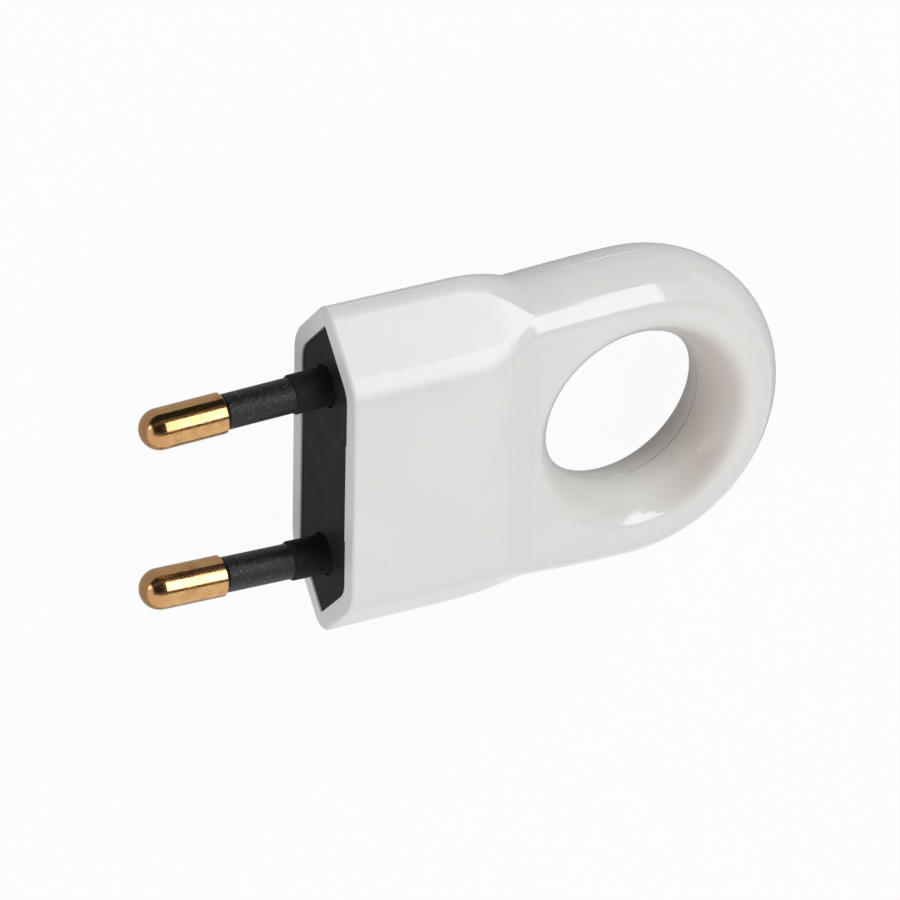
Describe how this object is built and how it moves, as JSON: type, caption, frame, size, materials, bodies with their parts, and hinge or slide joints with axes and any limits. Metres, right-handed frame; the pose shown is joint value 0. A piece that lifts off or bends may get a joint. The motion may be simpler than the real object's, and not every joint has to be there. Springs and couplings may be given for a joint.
{
  "type": "europlug with a finger ring",
  "caption": "Flat two-pin mains plug in white plastic with brass pins in black sleeves and a round finger ring for pulling it out.",
  "frame": {"origin": "centre of the black engagement face, on the parting plane of the two covers", "axes": "+X from the pins to the finger ring, along the length; +Y across the width, away from the cord inlet; +Z out of the front cover, through the thickness"},
  "size_m": [0.0665, 0.0352, 0.0138],
  "materials": {
    "shell": "satin-gloss white moulded plastic",
    "carrier": "matte black moulded plastic",
    "sleeves": "fine-grained black plastic with a slight sheen",
    "pins": "polished turned brass",
    "screws": "zinc-plated steel",
    "clamp": "matte off-white plastic"
  },
  "bodies": {
    "root": {"front_cover": "shell", "back_cover": "shell", "pin_carrier": "carrier", "pin_left": "pins", "pin_right": "pins", "pin_sleeve_left": "sleeves", "pin_sleeve_right": "sleeves", "terminal_screw_left": "screws", "terminal_screw_right": "screws", "cord_clamp": "clamp", "clamp_screw_near": "screws", "clamp_screw_far": "screws", "closing_screw_body": "screws", "closing_screw_ring": "screws"}
  },
  "joints": []
}
